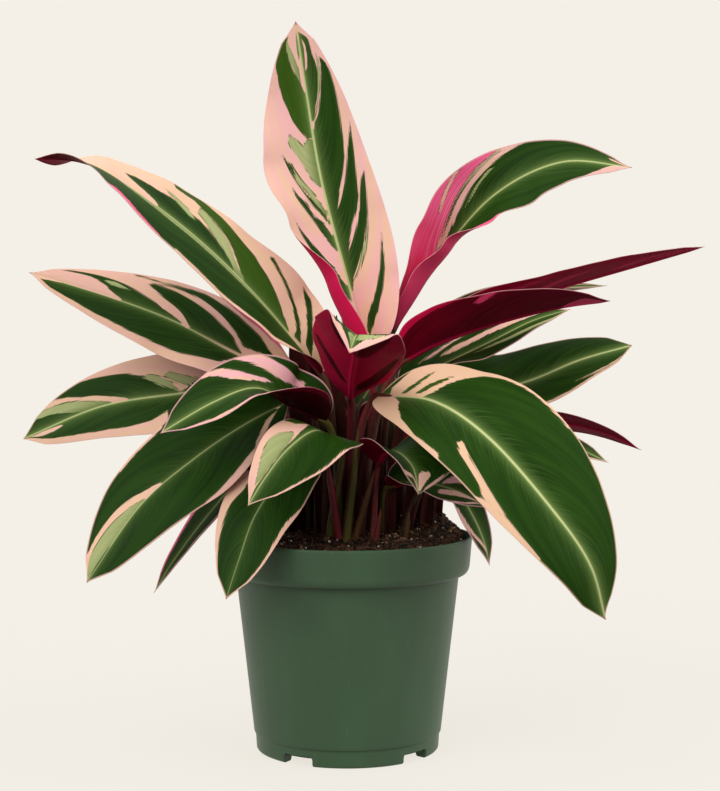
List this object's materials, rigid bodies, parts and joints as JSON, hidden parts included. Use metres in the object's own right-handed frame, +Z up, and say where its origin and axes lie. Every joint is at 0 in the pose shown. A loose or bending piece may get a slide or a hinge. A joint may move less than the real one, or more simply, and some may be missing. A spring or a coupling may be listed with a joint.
{
  "type": "potted plant",
  "caption": "Bushy foliage plant with long variegated lance-shaped leaves on arching stalks, rooted in soil in a round tapered grower pot with a deep plain rim.",
  "frame": {"origin": "on the pot's axis, in the plane that its feet stand on", "axes": "+Z up along the pot's axis, -Y the front, +X to the right seen from the front"},
  "size_m": [0.4525, 0.2755, 0.4692],
  "materials": {
    "pot_plastic": "satin moulded green",
    "soil": "loose, matte, with white specks",
    "leaf_variegated": "semi-gloss green, cream and pink above, maroon below",
    "leaf_red": "semi-gloss maroon to crimson underside"
  },
  "bodies": {
    "root": {"pot": "pot_plastic", "soil": "soil", "leaf_crown": "leaf_variegated", "leaf_upper_left": "leaf_variegated", "leaf_mid_left": "leaf_variegated", "leaf_side_left": "leaf_variegated", "leaf_front_left": "leaf_variegated", "leaf_low_left": "leaf_variegated", "leaf_edge_left": "leaf_variegated", "leaf_drop_left": "leaf_variegated", "leaf_front_small": "leaf_variegated", "leaf_front_red": "leaf_red", "leaf_upper_right": "leaf_variegated", "leaf_red_right": "leaf_red", "leaf_far_right": "leaf_red", "leaf_striped_right": "leaf_variegated", "leaf_side_right": "leaf_variegated", "leaf_broad_right": "leaf_variegated", "leaf_thin_right": "leaf_red", "leaf_tuck_right": "leaf_variegated", "leaf_bud_front": "leaf_variegated", "leaf_low_right": "leaf_variegated", "leaf_hang_right": "leaf_variegated", "leaf_behind_right": "leaf_variegated", "leaf_back_tall": "leaf_variegated", "leaf_back_drop_left": "leaf_variegated", "leaf_back_drop_right": "leaf_variegated", "leaf_back_left": "leaf_variegated", "leaf_back_right": "leaf_variegated", "leaf_back_upper_right": "leaf_variegated", "leaf_back_upper_left": "leaf_variegated", "leaf_back_middle": "leaf_variegated"}
  },
  "joints": []
}
